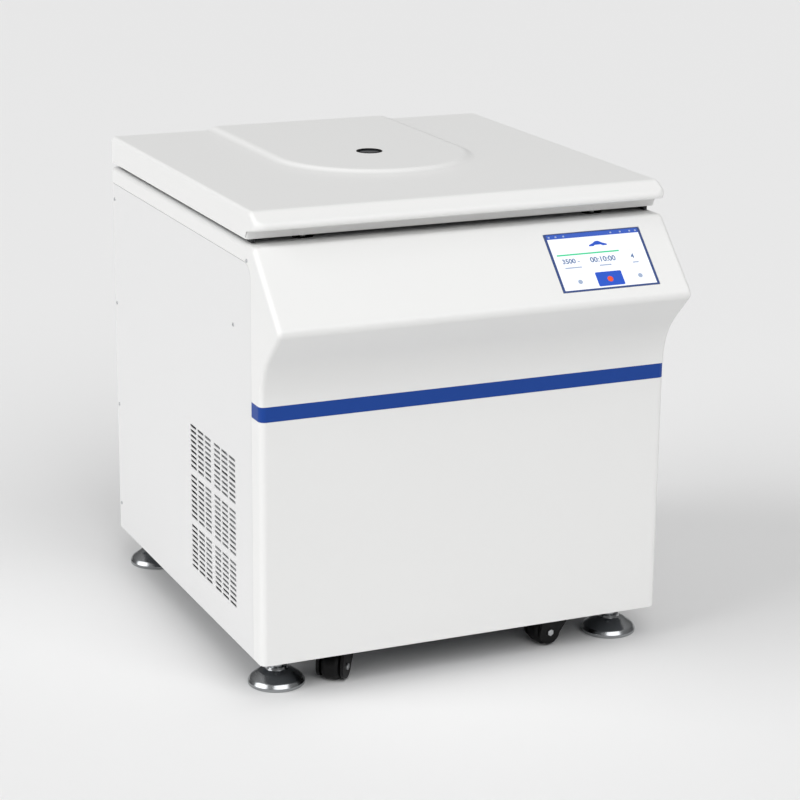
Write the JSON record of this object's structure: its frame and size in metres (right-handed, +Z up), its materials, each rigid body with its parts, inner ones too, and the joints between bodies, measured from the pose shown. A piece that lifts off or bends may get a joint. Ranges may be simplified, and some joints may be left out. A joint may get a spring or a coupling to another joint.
{
  "type": "laboratory centrifuge",
  "caption": "Floor-standing refrigerated laboratory centrifuge with a hinged lid, swing-out rotor, sloping control console and castered base.",
  "frame": {"origin": "on the floor under the middle of the object's outline, with the levelling feet down", "axes": "+Z up, +Y towards the hinged back, +X to the right of a person facing the console"},
  "size_m": [0.7528, 0.8774, 0.8368],
  "materials": {
    "off_white_moulding": "fine satin",
    "blue_moulding": "satin",
    "white_sheet_steel": "satin powder coat",
    "grey_steel": "satin paint",
    "stainless_steel": "brushed",
    "dark_rubber": "matt",
    "foam": "matt",
    "copper": "drawn tube",
    "cast_housing": "semi-matt paint",
    "machined_steel": "turned",
    "rotor_alloy": "anodised",
    "knob_alloy": "black anodised",
    "bucket_alloy": "anodised",
    "black_plastic": "fine texture",
    "window_glass": "polished",
    "screen_glass": "glossy",
    "chrome": "polished",
    "black_enamel": "semi-gloss paint",
    "wheel_nylon": "moulded",
    "fin_aluminium": "mill finish"
  },
  "bodies": {
    "cabinet": {"top_cover": "off_white_moulding", "front_panel": "off_white_moulding", "front_stripe": "blue_moulding", "left_side_panel": "white_sheet_steel", "right_side_panel": "white_sheet_steel", "rear_panel": "white_sheet_steel", "panel_screws": "chrome", "base_pan": "grey_steel", "welded_frame": "grey_steel", "chamber_bowl": "stainless_steel", "chamber_seal": "dark_rubber", "cooling_coil": "copper", "chamber_insulation": "foam", "guard_ring": "grey_steel", "motor_housing": "cast_housing", "drive_rubbers": "dark_rubber", "motor_bearings": "machined_steel", "cabinet_hinges": "grey_steel", "lock_bezels": "black_plastic", "lock_actuator": "grey_steel", "touch_screen": "screen_glass", "display_housing": "black_plastic", "power_entry": "black_plastic", "condensate_spigot": "black_plastic", "compressor": "black_enamel", "condenser": "fin_aluminium", "fan_shroud": "black_enamel", "inverter_box": "fin_aluminium", "refrigerant_pipes": "copper", "caster_mounts": "black_enamel"},
    "lid": {"lid_shell": "off_white_moulding", "lid_plate": "stainless_steel", "lid_liner": "stainless_steel", "lid_gasket": "dark_rubber", "port_tube": "black_plastic", "viewing_windows": "window_glass", "lid_strikers": "machined_steel", "lid_hinges": "grey_steel"},
    "strut_rods": {"strut_rods": "chrome"},
    "strut_cylinders": {"strut_cylinders": "black_enamel"},
    "lock_bar": {"lock_bar": "machined_steel"},
    "rotor": {"rotor_head": "rotor_alloy", "drive_shaft": "machined_steel"},
    "rotor_knob": {"rotor_knob": "knob_alloy"},
    "fan": {"fan_blades": "black_plastic"},
    "mains_rocker": {"mains_rocker": "black_plastic"},
    "bucket_1": {"bucket_1": "bucket_alloy"},
    "bucket_2": {"bucket_2": "bucket_alloy"},
    "bucket_3": {"bucket_3": "bucket_alloy"},
    "bucket_4": {"bucket_4": "bucket_alloy"},
    "caster_fork_left": {"caster_fork_left": "black_enamel"},
    "front_wheel_left": {"front_wheel_left": "wheel_nylon"},
    "rear_wheel_left": {"rear_wheel_left": "wheel_nylon"},
    "caster_fork_right": {"caster_fork_right": "black_enamel"},
    "front_wheel_right": {"front_wheel_right": "wheel_nylon"},
    "rear_wheel_right": {"rear_wheel_right": "wheel_nylon"},
    "levelling_foot_front_left": {"levelling_foot_front_left": "chrome"},
    "levelling_foot_front_right": {"levelling_foot_front_right": "chrome"},
    "levelling_foot_rear_left": {"levelling_foot_rear_left": "chrome"},
    "levelling_foot_rear_right": {"levelling_foot_rear_right": "chrome"}
  },
  "joints": [
    {"name": "lid_hinge", "type": "hinge", "parent": "cabinet", "child": "lid", "pos_m": [0, 0.43075, 0.7765], "axis": [-1, 0, 0], "range_deg": [0, 75]},
    {"name": "strut_pivot", "type": "hinge", "parent": "cabinet", "child": "strut_rods", "pos_m": [0, 0.36025, 0.533], "axis": [-1, 0, 0], "range_deg": [0, 11.73]},
    {"name": "strut_slide", "type": "slide", "parent": "strut_rods", "child": "strut_cylinders", "axis": [0, -0.1095, 0.994], "range_m": [0, 0.10494]},
    {"name": "lock_slide", "type": "slide", "parent": "cabinet", "child": "lock_bar", "axis": [1, 0, 0], "range_m": [0, 0.012]},
    {"name": "rotor_spin", "type": "hinge", "parent": "cabinet", "child": "rotor", "pos_m": [0, 0.07925, 0.648], "axis": [0, 0, 1], "continuous": true},
    {"name": "rotor_knob_turn", "type": "hinge", "parent": "rotor", "child": "rotor_knob", "pos_m": [0, 0.07925, 0.672], "axis": [0, 0, 1], "continuous": true},
    {"name": "bucket_1_swing", "type": "hinge", "parent": "rotor", "child": "bucket_1", "pos_m": [0.145, 0.07925, 0.648], "axis": [0, -1, 0], "range_deg": [0, 90]},
    {"name": "bucket_2_swing", "type": "hinge", "parent": "rotor", "child": "bucket_2", "pos_m": [0, 0.22425, 0.648], "axis": [1, 0, 0], "range_deg": [0, 90]},
    {"name": "bucket_3_swing", "type": "hinge", "parent": "rotor", "child": "bucket_3", "pos_m": [-0.145, 0.07925, 0.648], "axis": [0, 1, 0], "range_deg": [0, 90]},
    {"name": "bucket_4_swing", "type": "hinge", "parent": "rotor", "child": "bucket_4", "pos_m": [0, -0.06575, 0.648], "axis": [-1, 0, 0], "range_deg": [0, 90]},
    {"name": "caster_swivel_left", "type": "hinge", "parent": "cabinet", "child": "caster_fork_left", "pos_m": [-0.208, -0.28475, 0.05], "axis": [0, 0, 1], "continuous": true},
    {"name": "front_wheel_left_roll", "type": "hinge", "parent": "caster_fork_left", "child": "front_wheel_left", "pos_m": [-0.2254, -0.30407, 0.026], "axis": [0.7431, -0.6691, 0], "continuous": true},
    {"name": "caster_swivel_right", "type": "hinge", "parent": "cabinet", "child": "caster_fork_right", "pos_m": [0.208, -0.28475, 0.05], "axis": [0, 0, 1], "continuous": true},
    {"name": "front_wheel_right_roll", "type": "hinge", "parent": "caster_fork_right", "child": "front_wheel_right", "pos_m": [0.1824, -0.28926, 0.026], "axis": [0.1736, -0.9848, 0], "continuous": true},
    {"name": "rear_wheel_left_roll", "type": "hinge", "parent": "cabinet", "child": "rear_wheel_left", "pos_m": [-0.208, 0.34525, 0.026], "axis": [-1, 0, 0], "continuous": true},
    {"name": "rear_wheel_right_roll", "type": "hinge", "parent": "cabinet", "child": "rear_wheel_right", "pos_m": [0.208, 0.34525, 0.026], "axis": [-1, 0, 0], "continuous": true},
    {"name": "front_left_foot_slide", "type": "slide", "parent": "cabinet", "child": "levelling_foot_front_left", "axis": [0, 0, -1], "range_m": [0, 0.02]},
    {"name": "front_right_foot_slide", "type": "slide", "parent": "cabinet", "child": "levelling_foot_front_right", "axis": [0, 0, -1], "range_m": [0, 0.02]},
    {"name": "rear_left_foot_slide", "type": "slide", "parent": "cabinet", "child": "levelling_foot_rear_left", "axis": [0, 0, -1], "range_m": [0, 0.02]},
    {"name": "rear_right_foot_slide", "type": "slide", "parent": "cabinet", "child": "levelling_foot_rear_right", "axis": [0, 0, -1], "range_m": [0, 0.02]},
    {"name": "fan_spin", "type": "hinge", "parent": "cabinet", "child": "fan", "pos_m": [-0.317, -0.11775, 0.256], "axis": [1, 0, 0], "continuous": true},
    {"name": "mains_rocker_tip", "type": "hinge", "parent": "cabinet", "child": "mains_rocker", "pos_m": [0.25, 0.41625, 0.206], "axis": [1, 0, 0], "range_deg": [0, 14]}
  ],
  "couplings": [
    {"joint": "strut_pivot", "follows": "lid_hinge", "ratio": 0.1524},
    {"joint": "strut_slide", "follows": "lid_hinge", "m_per_rad": 0.079789}
  ]
}
